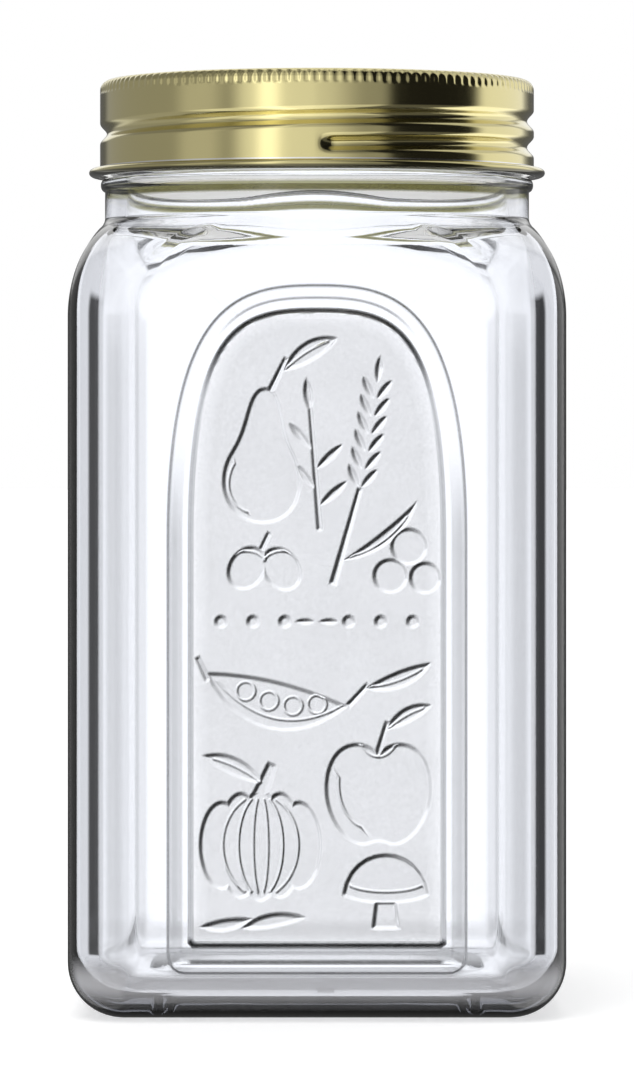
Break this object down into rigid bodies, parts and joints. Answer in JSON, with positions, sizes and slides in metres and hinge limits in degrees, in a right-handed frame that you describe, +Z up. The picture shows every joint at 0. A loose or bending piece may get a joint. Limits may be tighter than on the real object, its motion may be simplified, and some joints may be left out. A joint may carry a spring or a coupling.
{
  "type": "storage jar",
  "caption": "Square clear glass storage jar with an arched moulded front panel and a gold screw closure: a knurled band, a flat disc and a sealing ring.",
  "frame": {"origin": "middle of the underside of the base, on the surface that the jar stands on", "axes": "+Z up along the jar's axis, -Y out of the front face that has the moulded arched panel, +X to the right as seen from the front"},
  "size_m": [0.1024, 0.1024, 0.1948],
  "materials": {
    "clear_glass": "polished clear soda-lime glass",
    "gold_lacquer": "gold lacquer on tinplate, satin gloss",
    "seal_compound": "matt, pale"
  },
  "bodies": {
    "jar": {"jar_body": "clear_glass"},
    "lid": {"lid_disc": "gold_lacquer", "sealing_ring": "seal_compound"},
    "band": {"screw_band": "gold_lacquer"}
  },
  "joints": [
    {"name": "lid_lift", "type": "slide", "parent": "jar", "child": "lid", "axis": [0, 0, 1], "range_m": [0, 0.0223]},
    {"name": "band_turn", "type": "hinge", "parent": "lid", "child": "band", "pos_m": [0, 0, 0.1845], "axis": [0, 0, 1], "range_deg": [0, 1440]}
  ],
  "couplings": [
    {"joint": "lid_lift", "follows": "band_turn", "m_per_rad": 0.00088331}
  ]
}
